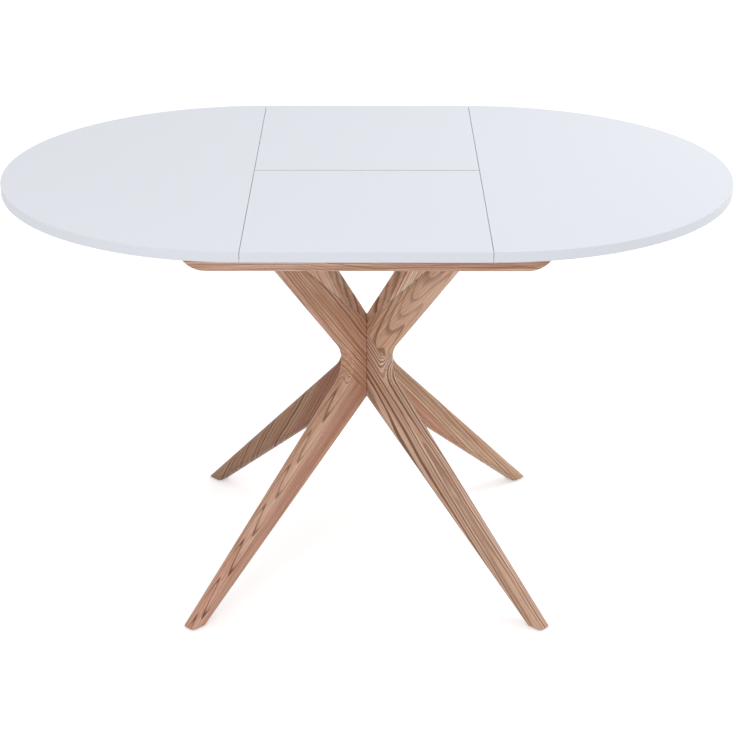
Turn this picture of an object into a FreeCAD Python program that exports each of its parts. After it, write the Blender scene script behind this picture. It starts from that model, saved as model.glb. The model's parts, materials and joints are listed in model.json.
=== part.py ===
"""Butterfly leaf table: two half-round tops on geared slides, a folding leaf on a
parallelogram lift, and a base of four boomerang legs crossing in one hub.

Frame: origin on the floor under the middle of the table, +X along the length,
+Y to the rear, +Z up. Millimetres. The table is drawn out, with its leaf in place.
"""
import FreeCAD
import Part
import math
import os

# ---------------------------------------------------------------- driving dimensions
TOP_DIAMETER = 900.0          # closed table is round
LEAF_WIDTH = 405.0            # what the leaf adds to the length
TABLE_HEIGHT = 760.0
TOP_THICKNESS = 18.0
EDGE_ARRIS = 1.2              # small rounding of every lacquered edge
SEAM_GAP = 0.8                # joint between a half top and the leaf
LEAF_JOINT_GAP = 1.5          # joint between the two halves of the leaf
LEAF_JOINT_ARRIS = 0.5        # crisper edges along the fold line

LEG_THICKNESS = 32.0
LEG_EDGE_RADIUS = 9.5
LEG_PLAN_ANGLE = 45.0         # legs run out along the diagonals
FOOT_TOE = 456.5              # outer end of a foot from the table's axis
ELBOW_REACH = 36.6            # corner of the outer outline, before its rounding
ELBOW_HEIGHT = 399.7
ELBOW_RADIUS = 54.0
ARM_TOE = 227.5               # outer end of an arm, under the frame
LEG_WIDTH_AT_FOOT = 20.5      # square to the outer outline, as are the next three
LEG_WIDTH_AT_ELBOW = 75.0
ARM_WIDTH_AT_ELBOW = 76.9
ARM_WIDTH_AT_TOP = 32.7
GLUE_LINE_RISE = 20.0         # glue line's end past the elbow, out and up or down
GLIDE_RADIUS = 11.0
GLIDE_THICKNESS = 3.0
GLIDE_ROUNDING = 0.8
DOWEL_RADIUS = 3.0
HUB_DOWEL_LENGTH = 30.0
ELBOW_DOWEL_RADIUS = 4.0
ELBOW_DOWEL_LENGTH = 26.0
ELBOW_DOWEL_SHARE = 0.6       # place along the glue line, clear of the hub's dowels
ARM_DOWEL_IN_RAIL = 15.0
ARM_DOWEL_IN_ARM = 9.0
ARM_DOWEL_INSET = 5.5         # from the rail's inner face
ARM_DOWEL_FROM_TOE = 24.2     # along X, measured as for the bolt

LEAF_STORE = 51.0             # room between the frame and the tops for the folded leaf
RAIL_HEIGHT = 62.0
RAIL_THICKNESS = 24.0
RAIL_FRONT = 174.0            # outer face of a rail from the middle
RAIL_HALF_LENGTH = 331.5
RAIL_END_RADIUS = 50.0
RAIL_ARRIS = 2.5
CROSS_INNER = 115.0           # cross members, along the length
CROSS_WIDTH = 60.0
CROSS_THICKNESS = 22.0
CROSS_DOWEL_RADIUS = 4.0
CROSS_DOWEL_LENGTH = 40.0
CROSS_DOWEL_IN_RAIL = 16.8
CROSS_DOWEL_EDGE = 7.2        # from a cross member's long edge

BOLT_RADIUS = 4.0             # bolts that hold the arms to the cross members
BOLT_LENGTH = 48.0
BOLT_FROM_TOE = 34.2          # from the outer end of an arm
BOLT_HEAD_RADIUS = 7.0
BOLT_HEAD_HEIGHT = 5.0
WASHER_RADIUS = 10.0
WASHER_THICKNESS = 2.0
INSERT_RADIUS = 6.0
INSERT_LENGTH = 25.0
BOLT_CLEARANCE = 0.4
BOLT_SINK = 0.5                # bolt head below the cross member's top

GEAR_MODULE = 1.5
GEAR_TEETH = 12
GEAR_ADDENDUM = 0.70          # in modules, short teeth keep a small pinion free of undercut
GEAR_DEDENDUM = 0.95
GEAR_BACKLASH = 0.30
PRESSURE_ANGLE = 20.0
PINION_WIDTH = 8.0
PINION_PIN_RADIUS = 2.5
RUNNING_CLEARANCE = 0.06
RUNNER_THICKNESS = 10.0
RUNNER_BODY = 7.0             # runner height above or below its teeth
SLIDE_CLEARANCE = 0.35
TRACK_SHEET = 1.5
TRACK_HALF_LENGTH = 312.0
TRACK_LIP = 5.0
TRACK_TOP_INSET = 1.0         # track top below the rail top
TRACK_SCREW_NEAR = 104.0      # from the middle
TRACK_SCREW_FAR = 270.4
TRACK_SCREW_LENGTH = 15.9
PINION_PIN_IN_RAIL = 12.0
OVERTRAVEL = 30.0             # how far a half top draws out beyond the leaf
RUNNER_INNER_END = 45.0       # runner end beyond the middle, table drawn out
BLOCK_NEAR = 408.0            # runner blocks and bearers stay clear of the stored leaf
BLOCK_WIDTH = 28.0
BLOCK_DEPTH = 24.0
BEARER_WIDTH = 44.0
BEARER_THICKNESS = 30.0
BEARER_HALF_LENGTH = 290.0
BEARER_ARRIS = 2.0
BEARER_SCREW_NEAR = 72.5      # from the middle
BEARER_SCREW_FAR = 255.2
BLOCK_SCREW_BITE = 15.0       # into the bearer
TOOTH_MARGIN = 6.0            # teeth beyond the travel

SCREW_RADIUS = 2.0
SCREW_HEAD_RADIUS = 4.0
SCREW_HEAD_HEIGHT = 2.0
SCREW_BITE = 11.0             # how far a screw goes into a top panel

ARM_LENGTH = 136.0            # lift arms, pin to pin
ARM_LEAN = 46.0               # from upright, towards the front
ARM_PIN_DROP = 13.0           # upper pins below the leaf
ARM_SPACING = 30.0            # front arm pin to rear arm pin
ARM_CENTRE = -112.5           # middle of the upper pins, front to rear
ARM_BAR_WIDTH = 12.0
ARM_BAR_THICKNESS = 4.0
LIFT_PIN_RADIUS = 3.0
LIFT_GAP = 0.6                # side play between flat lift parts
CROSS_BAR_RADIUS = 4.0
CARRIER_WIDTH = 26.0
CARRIER_THICKNESS = 4.0
CARRIER_FRONT_INSET = 50.0    # carrier's end from the leaf's front edge
CARRIER_REAR = 190.0
CARRIER_SCREW_MARGIN = 15.0   # end screws from the carrier's front end and from the fold line
EAR_RADIUS = 7.5
EAR_THICKNESS = 4.0
PIVOT_PLATE_THICKNESS = 4.0
PIVOT_PLATE_END = 16.0        # plate beyond its pins, front and rear
PIVOT_PLATE_DROP = 6.0        # plate below its pins
PLATE_SCREW_DROP = 5.0        # screws below the plate's top
PLATE_SCREW_END = 8.0         # outer screws beyond the pins
PLATE_SCREW_LENGTH = 24.0
LOWER_PIN_BITE = 10.0         # pins into the cross members
REAR_BAR_SHARE = 0.42         # cross bar's place along the rear arms, from the lower pin
FRONT_BAR_SHARE = 0.62

LEDGE_INSET = 120.0           # middle of a leaf ledge from the front edge
LEDGE_LENGTH = 60.0
LEDGE_REACH = 15.0            # under the leaf
LEDGE_WIDTH = 45.0
LEDGE_THICKNESS = 3.0
LEDGE_SCREW_OUT = 27.0        # from the seam
LEDGE_SCREW_SPACING = 36.0

HINGE_SPACING = 140.0
HINGE_BARREL_RADIUS = 6.0
HINGE_BARREL_LENGTH = 22.0
HINGE_DEPTH = 8.5             # barrel centre below the leaf's face
TONGUE_THICKNESS = 4.0
TONGUE_OUTER = 12.5           # tongue radii about the fold line
TONGUE_INNER = 5.0
TONGUE_CLEARANCE = 0.4
POCKET_ROOF = 1.8             # wood left above the tongue's pocket
TONGUE_ROOF = 2.4
BRIDGE_LIFT = 0.3             # bridge above the tongue's lowest point

# ---------------------------------------------------------------- derived places
RADIUS = TOP_DIAMETER / 2
UNDERSIDE = TABLE_HEIGHT - TOP_THICKNESS
LEDGE_PLACE = RADIUS - LEDGE_INSET
CARRIER_FRONT = CARRIER_FRONT_INSET - RADIUS
SEAM_X = LEAF_WIDTH / 2
TOP_INNER_X = SEAM_X + SEAM_GAP / 2
LEAF_HALF_X = SEAM_X - SEAM_GAP / 2
RAIL_TOP = UNDERSIDE - LEAF_STORE
RAIL_BOTTOM = RAIL_TOP - RAIL_HEIGHT
RAIL_INNER = RAIL_FRONT - RAIL_THICKNESS
CROSS_OUTER = CROSS_INNER + CROSS_WIDTH
CROSS_TOP = RAIL_BOTTOM + CROSS_THICKNESS
WASHER_SEAT = CROSS_TOP - BOLT_SINK - BOLT_HEAD_HEIGHT - WASHER_THICKNESS
BOLT_SEAT = WASHER_SEAT + WASHER_THICKNESS
PLATE_SCREW_Z = CROSS_TOP - PLATE_SCREW_DROP
PITCH_RADIUS = GEAR_MODULE * GEAR_TEETH / 2
ROOT_OFFSET = PITCH_RADIUS + GEAR_DEDENDUM * GEAR_MODULE
RUNNER_OFFSET = ROOT_OFFSET + RUNNER_BODY
TRACK_HALF_HEIGHT = RUNNER_OFFSET + SLIDE_CLEARANCE + TRACK_SHEET
GEAR_Z = RAIL_TOP - TRACK_TOP_INSET - TRACK_HALF_HEIGHT
RUNNER_OUTER_Y = RAIL_INNER - TRACK_SHEET - SLIDE_CLEARANCE
RUNNER_INNER_Y = RUNNER_OUTER_Y - RUNNER_THICKNESS
TRACK_INNER_Y = RUNNER_INNER_Y - SLIDE_CLEARANCE - TRACK_SHEET
BLOCK_FAR = BLOCK_NEAR + BLOCK_WIDTH
BEARER_BOTTOM = UNDERSIDE - BEARER_THICKNESS
LIFT_TOP_Z = UNDERSIDE - CARRIER_THICKNESS
UPPER_PIN_Z = UNDERSIDE - ARM_PIN_DROP
LOWER_PIN_Z = UPPER_PIN_Z - ARM_LENGTH * math.cos(math.radians(ARM_LEAN))
ARM_RUN = ARM_LENGTH * math.sin(math.radians(ARM_LEAN))
PLATE_X = CROSS_INNER - PIVOT_PLATE_THICKNESS
OUTER_ARM_X = PLATE_X - LIFT_GAP - ARM_BAR_THICKNESS
INNER_ARM_X = OUTER_ARM_X - LIFT_GAP - ARM_BAR_THICKNESS
EAR_X = INNER_ARM_X - LIFT_GAP - EAR_THICKNESS

CORNERS = {"front_left": (-1, -1), "front_right": (1, -1), "rear_left": (-1, 1), "rear_right": (1, 1)}


# ---------------------------------------------------------------- helpers
def vec(x, y, z):
    return FreeCAD.Vector(x, y, z)


def box(x_span, y_span, z_span):
    """Box between two values along each axis, in either order."""
    low = [min(span) for span in (x_span, y_span, z_span)]
    size = [abs(span[1] - span[0]) for span in (x_span, y_span, z_span)]
    return Part.makeBox(size[0], size[1], size[2], vec(*low))


def rod(start, end, radius):
    """Round bar between two points."""
    a = vec(*start)
    b = vec(*end)
    return Part.makeCylinder(radius, (b - a).Length, a, b - a)


def prism(points, direction):
    """Straight-sided outline pushed along a direction."""
    wire = Part.makePolygon([vec(*p) for p in points] + [vec(*points[0])])
    return Part.Face(wire).extrude(vec(*direction))


def joined(pieces):
    shape = pieces[0]
    for piece in pieces[1:]:
        shape = shape.fuse(piece)
    return shape.removeSplitter()


def rounded(shape, radius, wanted):
    """Fillet the edges for which wanted(edge) holds."""
    return shape.makeFillet(radius, [edge for edge in shape.Edges if wanted(edge)])


def mirrored_x(shape):
    return shape.mirror(vec(0, 0, 0), vec(1, 0, 0))


def turned(shape, degrees):
    copy = shape.copy()
    copy.rotate(vec(0, 0, 0), vec(0, 0, 1), degrees)
    return copy


def save(name, shape):
    """Write one node: a solid, or several separate solids of one kind."""
    if isinstance(shape, list):
        shape = Part.Compound(shape)
    shape.exportStep("parts/" + name + ".step")


def screw(x, y, z_head, length):
    """Pan-head screw that goes up from its head."""
    shank = rod((x, y, z_head), (x, y, z_head + length), SCREW_RADIUS)
    head = rod((x, y, z_head - SCREW_HEAD_HEIGHT), (x, y, z_head), SCREW_HEAD_RADIUS)
    return joined([head, shank])


def with_holes(shape, holes):
    for hole in holes:
        shape = shape.cut(hole)
    return shape


# ---------------------------------------------------------------- legs
def line_at_height(near, far, z):
    """Distance from the axis where the line through two profile points has height z."""
    share = (z - near[1]) / (far[1] - near[1])
    return near[0] + share * (far[0] - near[0])


def line_at_reach(near, far, reach):
    share = (reach - near[0]) / (far[0] - near[0])
    return near[1] + share * (far[1] - near[1])


def inner_outline(toe, width_at_toe, width_at_elbow, up):
    """Two points of a branch's inner outline, at the elbow and at its toe."""
    run = (toe[0] - ELBOW_REACH, toe[1] - ELBOW_HEIGHT)
    length = math.hypot(*run)
    normal = (-abs(run[1]) / length, up * run[0] / length)
    ends = ((ELBOW_REACH, ELBOW_HEIGHT, width_at_elbow), (toe[0], toe[1], width_at_toe))
    return [(r + normal[0] * width, z + normal[1] * width) for r, z, width in ends]


LOWER_OUTLINE = inner_outline((FOOT_TOE, 0.0), LEG_WIDTH_AT_FOOT, LEG_WIDTH_AT_ELBOW, -1)
UPPER_OUTLINE = inner_outline((ARM_TOE, RAIL_BOTTOM), ARM_WIDTH_AT_TOP, ARM_WIDTH_AT_ELBOW, 1)
HUB_BOTTOM = line_at_reach(*LOWER_OUTLINE, 0.0)
HUB_TOP = line_at_reach(*UPPER_OUTLINE, 0.0)
FOOT_REACH = (FOOT_TOE + line_at_height(*LOWER_OUTLINE, 0.0)) / 2


def leg_profile_solid():
    """Whole boomerang in the X-Z plane, from the floor up past the frame and the axis."""
    spare = 30.0
    elbow = (ELBOW_REACH, ELBOW_HEIGHT)
    high = RAIL_BOTTOM + spare
    points = [
        (FOOT_TOE, 0.0),
        elbow,
        (line_at_height(elbow, (ARM_TOE, RAIL_BOTTOM), high), high),
        (line_at_height(*UPPER_OUTLINE, high), high),
        (-spare, line_at_reach(*UPPER_OUTLINE, -spare)),
        (-spare, line_at_reach(*LOWER_OUTLINE, -spare)),
        (line_at_height(*LOWER_OUTLINE, 0.0), 0.0),
    ]
    solid = prism([(r, -LEG_THICKNESS / 2, z) for r, z in points], (0, LEG_THICKNESS, 0))
    solid = rounded(solid, ELBOW_RADIUS, lambda e: is_cross_edge(e, elbow))
    return rounded(solid, LEG_EDGE_RADIUS, is_side_edge)


def is_cross_edge(edge, point):
    """True for the edge that runs across the leg through a profile corner."""
    middle = edge.CenterOfMass
    across = abs(edge.Vertexes[0].Y - edge.Vertexes[-1].Y) > LEG_THICKNESS / 2
    return across and math.hypot(middle.x - point[0], middle.z - point[1]) < 1.0


def is_side_edge(edge):
    """True for the edges round the two side faces of the leg."""
    return abs(abs(edge.CenterOfMass.y) - LEG_THICKNESS / 2) < 0.01


def leg_cut_prism(line, beyond):
    """Everything below a glue line, which runs on into the open elbow and then out level."""
    (r0, z0), (r1, z1) = line
    past_elbow = r1 + ELBOW_REACH / 2
    left_z = line_at_reach((r0, z0), (r1, z1), -ELBOW_REACH)
    past_z = line_at_reach((r0, z0), (r1, z1), past_elbow)
    points = [
        (-ELBOW_REACH, left_z),
        (past_elbow, past_z),
        (beyond, past_z),
        (beyond, -beyond),
        (-ELBOW_REACH, -beyond),
    ]
    return prism([(r, -LEG_THICKNESS, z) for r, z in points], (0, 2 * LEG_THICKNESS, 0))


def glue_line(arm_runs_through):
    """Glue line from the hub to the elbow, above or below the crossing."""
    out = ELBOW_REACH + GLUE_LINE_RISE
    if arm_runs_through:
        return (0.0, HUB_BOTTOM - LEG_EDGE_RADIUS), (out, ELBOW_HEIGHT - GLUE_LINE_RISE)
    return (0.0, HUB_TOP + LEG_EDGE_RADIUS / 2), (out, ELBOW_HEIGHT + GLUE_LINE_RISE)


def glue_dowel_ends(arm_runs_through):
    """Ends of a dowel square to the glue line, between the hub's dowels and the elbow."""
    (r0, z0), (r1, z1) = glue_line(arm_runs_through)
    length = math.hypot(r1 - r0, z1 - z0)
    along = ((r1 - r0) / length, (z1 - z0) / length)
    centre = (r0 + ELBOW_DOWEL_SHARE * (r1 - r0), z0 + ELBOW_DOWEL_SHARE * (z1 - z0))
    half = ELBOW_DOWEL_LENGTH / 2
    return [(centre[0] - s * half * along[1], 0.0, centre[1] + s * half * along[0]) for s in (-1, 1)]


def hub_dowel(x_sign, y_sign, z):
    """Dowel across one mitre of the hub; one of the signs is 0."""
    place = LEG_THICKNESS / math.sqrt(2) / 2
    half = HUB_DOWEL_LENGTH / 2
    if x_sign == 0:
        return rod((-half, y_sign * place, z), (half, y_sign * place, z), DOWEL_RADIUS)
    return rod((x_sign * place, -half, z), (x_sign * place, half, z), DOWEL_RADIUS)


def hub_dowels():
    """Two dowels across each of the four mitres, at four levels so that none meet."""
    step = (HUB_TOP - HUB_BOTTOM) / 5
    levels = [HUB_BOTTOM + step * (i + 1) for i in range(4)]
    dowels = []
    for sign in (-1, 1):
        for z in (levels[0], levels[2]):
            dowels.append(hub_dowel(0, sign, z))
        for z in (levels[1], levels[3]):
            dowels.append(hub_dowel(sign, 0, z))
    return dowels


def bolt_place(x_sign, y_sign):
    """Bolt through the cross member into the inner half of an arm's end."""
    reach = (ARM_TOE - BOLT_FROM_TOE) / math.sqrt(2)
    return x_sign * reach, y_sign * reach


def arm_bolt(x, y):
    shank = rod((x, y, BOLT_SEAT - BOLT_LENGTH), (x, y, BOLT_SEAT), BOLT_RADIUS)
    head = rod((x, y, BOLT_SEAT), (x, y, BOLT_SEAT + BOLT_HEAD_HEIGHT), BOLT_HEAD_RADIUS)
    return joined([head, shank])


def arm_washer(x, y):
    disc = rod((x, y, WASHER_SEAT), (x, y, BOLT_SEAT), WASHER_RADIUS)
    return disc.cut(rod((x, y, WASHER_SEAT - 1), (x, y, BOLT_SEAT + 1), BOLT_RADIUS + BOLT_CLEARANCE))


def bolt_room(x, y):
    """Clearance hole and counterbore through a cross member."""
    hole = rod((x, y, RAIL_BOTTOM - 1), (x, y, CROSS_TOP + 1), BOLT_RADIUS + BOLT_CLEARANCE)
    return joined([hole, rod((x, y, WASHER_SEAT), (x, y, CROSS_TOP + 1), WASHER_RADIUS)])


def arm_insert(x, y):
    body = rod((x, y, RAIL_BOTTOM - INSERT_LENGTH), (x, y, RAIL_BOTTOM), INSERT_RADIUS)
    return body.cut(rod((x, y, RAIL_BOTTOM - INSERT_LENGTH - 1), (x, y, RAIL_BOTTOM + 1), BOLT_RADIUS))


def make_legs():
    whole = leg_profile_solid()
    reach = 2 * FOOT_TOE
    wedge = prism([(0, 0, 0), (reach, reach, 0), (reach, -reach, 0)], (0, 0, RAIL_BOTTOM))
    leg = whole.common(wedge)
    foot_floor = box((0, reach), (-LEG_THICKNESS, LEG_THICKNESS), (-1, GLIDE_THICKNESS))
    leg = leg.cut(foot_floor)
    pins = hub_dowels()
    joint_pins = []
    glides = []
    for name, (sx, sy) in CORNERS.items():
        azimuth = math.degrees(math.atan2(sy, sx))
        swing = math.copysign(LEG_PLAN_ANGLE - 45.0, sx * sy)
        arm_runs_through = sx * sy > 0
        below = leg_cut_prism(glue_line(arm_runs_through), reach)
        placed = turned(rod(*glue_dowel_ends(arm_runs_through), ELBOW_DOWEL_RADIUS), azimuth + swing)
        joint_pins.append(placed)
        x, y = bolt_place(sx, sy)
        shank_room = rod((x, y, BOLT_SEAT - BOLT_LENGTH), (x, y, RAIL_BOTTOM), BOLT_RADIUS + BOLT_CLEARANCE)
        insert_room = rod((x, y, RAIL_BOTTOM - INSERT_LENGTH), (x, y, RAIL_BOTTOM), INSERT_RADIUS)
        rooms = pins + [placed, shank_room, insert_room, arm_dowel(sx, sy)]
        upper = turned(leg.cut(below), azimuth + swing)
        lower = turned(leg.common(below), azimuth + swing)
        save(name + "_upper_arm", with_holes(upper, rooms))
        save(name + "_lower_leg", with_holes(lower, rooms))
        glide = rod((FOOT_REACH, 0, 0), (FOOT_REACH, 0, GLIDE_THICKNESS), GLIDE_RADIUS)
        glide = rounded(glide, GLIDE_ROUNDING, lambda e: e.CenterOfMass.z < 0.01)
        glides.append(turned(glide, azimuth + swing))
    save("foot_glides", glides)
    save("hub_dowels", pins)
    save("elbow_dowels", joint_pins)


# ---------------------------------------------------------------- base frame
def arm_dowel(x_sign, y_sign):
    """Dowel between the rail's underside and the outer half of an arm's end."""
    x = x_sign * (ARM_TOE - ARM_DOWEL_FROM_TOE) / math.sqrt(2)
    y = y_sign * (RAIL_INNER + ARM_DOWEL_INSET)
    return rod((x, y, RAIL_BOTTOM - ARM_DOWEL_IN_ARM), (x, y, RAIL_BOTTOM + ARM_DOWEL_IN_RAIL), DOWEL_RADIUS)


def make_rail(sign):
    """Rail with quarter-round lower corners and softened edges."""
    rail = box((-RAIL_HALF_LENGTH, RAIL_HALF_LENGTH), (sign * RAIL_INNER, sign * RAIL_FRONT),
               (RAIL_BOTTOM, RAIL_TOP))
    rail = rounded(rail, RAIL_END_RADIUS, lambda e: abs(e.CenterOfMass.z - RAIL_BOTTOM) < 0.01
                   and abs(abs(e.CenterOfMass.x) - RAIL_HALF_LENGTH) < 0.01)
    return rounded(rail, RAIL_ARRIS, lambda e: abs(e.CenterOfMass.y - sign * RAIL_FRONT) < 0.01
                   and e.CenterOfMass.z < RAIL_TOP - 0.01)


def cross_dowels():
    """Two dowels through each end of each cross member into the rails."""
    dowels = []
    z = (RAIL_BOTTOM + CROSS_TOP) / 2
    for sx in (-1, 1):
        for sy in (-1, 1):
            for place in (CROSS_INNER + CROSS_DOWEL_EDGE, CROSS_OUTER - CROSS_DOWEL_EDGE):
                inner = sy * (RAIL_INNER + CROSS_DOWEL_IN_RAIL - CROSS_DOWEL_LENGTH)
                outer = sy * (RAIL_INNER + CROSS_DOWEL_IN_RAIL)
                dowels.append(rod((sx * place, inner, z), (sx * place, outer, z), CROSS_DOWEL_RADIUS))
    return dowels


def pivot_plate_holes():
    """Lower pin places, rear arm then front arm."""
    rear = ARM_CENTRE + ARM_SPACING / 2 + ARM_RUN
    return rear, rear - ARM_SPACING


def pivot_plate(sign):
    """Steel plate on the inner face of a cross member, with the two lower pivots."""
    rear, front = pivot_plate_holes()
    plate = box((sign * PLATE_X, sign * CROSS_INNER), (front - PIVOT_PLATE_END, rear + PIVOT_PLATE_END),
                (LOWER_PIN_Z - PIVOT_PLATE_DROP, CROSS_TOP))
    pins = [(y, LOWER_PIN_Z, LIFT_PIN_RADIUS) for y in (rear, front)]
    fixings = [(y, PLATE_SCREW_Z, SCREW_RADIUS) for y in plate_screw_places()]
    x0 = sign * (PLATE_X - 1)
    x1 = sign * (CROSS_INNER + 1)
    return with_holes(plate, [rod((x0, y, z), (x1, y, z), radius) for y, z, radius in pins + fixings])


def plate_screw_places():
    rear, front = pivot_plate_holes()
    return front - PLATE_SCREW_END, (front + rear) / 2, rear + PLATE_SCREW_END


def plate_screw(sign, y):
    """Flush screw through a pivot plate into its cross member."""
    return rod((sign * PLATE_X, y, PLATE_SCREW_Z), (sign * (PLATE_X + PLATE_SCREW_LENGTH), y, PLATE_SCREW_Z),
               SCREW_RADIUS)


def lower_pin(sign, y, inner_x):
    """Pivot pin fixed in its plate and cross member, reaching in to the arm's inner face."""
    outer_x = CROSS_INNER + LOWER_PIN_BITE
    return rod((sign * inner_x, y, LOWER_PIN_Z), (sign * outer_x, y, LOWER_PIN_Z), LIFT_PIN_RADIUS)


def track(sign):
    """C-shaped steel track on the inner face of a rail."""
    z0 = GEAR_Z - TRACK_HALF_HEIGHT
    z1 = GEAR_Z + TRACK_HALF_HEIGHT
    span = (-TRACK_HALF_LENGTH, TRACK_HALF_LENGTH)
    back = box(span, (sign * RAIL_INNER, sign * (RAIL_INNER - TRACK_SHEET)), (z0, z1))
    pieces = [back]
    for low, high in ((z0, z0 + TRACK_SHEET), (z1 - TRACK_SHEET, z1)):
        pieces.append(box(span, (sign * RAIL_INNER, sign * TRACK_INNER_Y), (low, high)))
    lip_y = (sign * TRACK_INNER_Y, sign * (TRACK_INNER_Y + TRACK_SHEET))
    for low, high in ((z0, z0 + TRACK_LIP), (z1 - TRACK_LIP, z1)):
        pieces.append(box(span, lip_y, (low, high)))
    holes = [rod(*pinion_pin_ends(sign), PINION_PIN_RADIUS)]
    for x in track_screw_places():
        holes.append(track_screw(sign, x))
    return with_holes(joined(pieces), holes)


def track_screw_places():
    return -TRACK_SCREW_FAR, -TRACK_SCREW_NEAR, TRACK_SCREW_NEAR, TRACK_SCREW_FAR


def track_screw(sign, x):
    """Flush screw through a track's back into the rail."""
    inner = RAIL_INNER - TRACK_SHEET
    return rod((x, sign * inner, GEAR_Z), (x, sign * (inner + TRACK_SCREW_LENGTH), GEAR_Z), SCREW_RADIUS)


def pinion_pin_ends(sign):
    inner = sign * (TRACK_INNER_Y + TRACK_SHEET)
    outer = sign * (RAIL_INNER + PINION_PIN_IN_RAIL)
    return (0, inner, GEAR_Z), (0, outer, GEAR_Z)


def make_frame():
    dowels = cross_dowels()
    dowel_rooms = [arm_dowel(sx, sy) for sx, sy in CORNERS.values()]
    screws = []
    pinion_pins = []
    for name, sign in (("front", -1), ("rear", 1)):
        fixings = [track_screw(sign, x) for x in track_screw_places()]
        pin = rod(*pinion_pin_ends(sign), PINION_PIN_RADIUS)
        save(name + "_rail", with_holes(make_rail(sign), dowels + dowel_rooms + fixings + [pin]))
        save(name + "_slide_track", track(sign))
        screws += fixings
        pinion_pins.append(pin)
    save("track_screws", screws)
    save("pinion_pins", pinion_pins)
    save("cross_dowels", dowels)
    save("arm_dowels", dowel_rooms)

    plate_screws = []
    lower_pins = []
    rear, front = pivot_plate_holes()
    for name, sign in (("left", -1), ("right", 1)):
        member = box((sign * CROSS_INNER, sign * CROSS_OUTER), (-RAIL_INNER, RAIL_INNER),
                     (RAIL_BOTTOM, CROSS_TOP))
        pins = [lower_pin(sign, rear, OUTER_ARM_X), lower_pin(sign, front, INNER_ARM_X)]
        fixings = [plate_screw(sign, y) for y in plate_screw_places()]
        rooms = [bolt_room(*bolt_place(sign, y_sign)) for y_sign in (-1, 1)]
        save(name + "_cross_member", with_holes(member, dowels + pins + fixings + rooms))
        save(name + "_pivot_plate", pivot_plate(sign))
        plate_screws += fixings
        lower_pins += pins
    save("pivot_plate_screws", plate_screws)
    save("lift_lower_pins", lower_pins)
    places = [bolt_place(sx, sy) for sx, sy in CORNERS.values()]
    save("arm_bolts", [arm_bolt(x, y) for x, y in places])
    save("arm_washers", [arm_washer(x, y) for x, y in places])
    save("arm_inserts", [arm_insert(x, y) for x, y in places])


# ---------------------------------------------------------------- slides
def involute_half_angle(radius):
    """Half the angle that a pinion tooth fills at a radius."""
    pressure = math.radians(PRESSURE_ANGLE)
    base = PITCH_RADIUS * math.cos(pressure)
    pitch_half = (math.pi * GEAR_MODULE / 2 - GEAR_BACKLASH) / 2 / PITCH_RADIUS
    local = math.acos(min(1.0, base / radius))
    return pitch_half + (math.tan(pressure) - pressure) - (math.tan(local) - local)


def pinion(sign):
    """Pinion on a fore-and-aft pin, one tooth straight up and one straight down."""
    root = PITCH_RADIUS - GEAR_DEDENDUM * GEAR_MODULE
    tip = PITCH_RADIUS + GEAR_ADDENDUM * GEAR_MODULE
    base = PITCH_RADIUS * math.cos(math.radians(PRESSURE_ANGLE))
    radii = [root, base, (base + tip) / 2, tip]
    points = []
    for tooth in range(GEAR_TEETH):
        centre = math.pi / 2 + 2 * math.pi * tooth / GEAR_TEETH
        flank = [(r, involute_half_angle(max(r, base))) for r in radii]
        rising = [(r, centre - half) for r, half in flank]
        falling = [(r, centre + half) for r, half in reversed(flank)]
        points += [(r * math.cos(a), r * math.sin(a)) for r, a in rising + falling]
    y = sign * (RUNNER_INNER_Y + RUNNER_OUTER_Y - PINION_WIDTH) / 2
    body = prism([(px, y, GEAR_Z + pz) for px, pz in points], (0, sign * PINION_WIDTH, 0))
    bore = rod((0, y - sign, GEAR_Z), (0, y + sign * (PINION_WIDTH + 1), GEAR_Z),
               PINION_PIN_RADIUS + RUNNING_CLEARANCE)
    return body.cut(bore)


def runner(side, upper, y_sign):
    """Toothed runner of one half top; the upper one has its teeth underneath."""
    pitch = math.pi * GEAR_MODULE
    slope = math.tan(math.radians(PRESSURE_ANGLE))
    addendum = GEAR_ADDENDUM * GEAR_MODULE
    dedendum = GEAR_DEDENDUM * GEAR_MODULE
    half = (pitch / 2 - GEAR_BACKLASH) / 2
    at_tip = half - addendum * slope
    at_root = half + dedendum * slope
    travel_in = SEAM_X + 2 * pitch
    count_out = int(travel_in / pitch)
    count_in = int((OVERTRAVEL + TOOTH_MARGIN) / pitch)
    outline = [(-RUNNER_INNER_END, ROOT_OFFSET)]
    for tooth in range(-count_in, count_out):
        centre = (tooth + 0.5) * pitch
        outline.append((centre - at_root, ROOT_OFFSET))
        outline.append((centre - at_tip, PITCH_RADIUS - addendum))
        outline.append((centre + at_tip, PITCH_RADIUS - addendum))
        outline.append((centre + at_root, ROOT_OFFSET))
    outline += [(BLOCK_FAR, ROOT_OFFSET), (BLOCK_FAR, RUNNER_OFFSET), (-RUNNER_INNER_END, RUNNER_OFFSET)]
    up = 1 if upper else -1
    points = [(side * x, y_sign * RUNNER_INNER_Y, GEAR_Z + up * z) for x, z in outline]
    return prism(points, (0, y_sign * RUNNER_THICKNESS, 0))


def runner_is_upper(side, y_sign):
    """A half turn about the upright axis carries one slide onto the other."""
    return side * y_sign > 0


def runner_block(side, y_sign):
    """Block between a runner's outer end and the bearer above it."""
    upper = runner_is_upper(side, y_sign)
    seat = GEAR_Z + RUNNER_OFFSET if upper else GEAR_Z - ROOT_OFFSET
    middle = y_sign * (RUNNER_INNER_Y + RUNNER_OUTER_Y) / 2
    return box((side * BLOCK_NEAR, side * BLOCK_FAR), (middle - BLOCK_DEPTH / 2, middle + BLOCK_DEPTH / 2),
               (seat, BEARER_BOTTOM))


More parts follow.
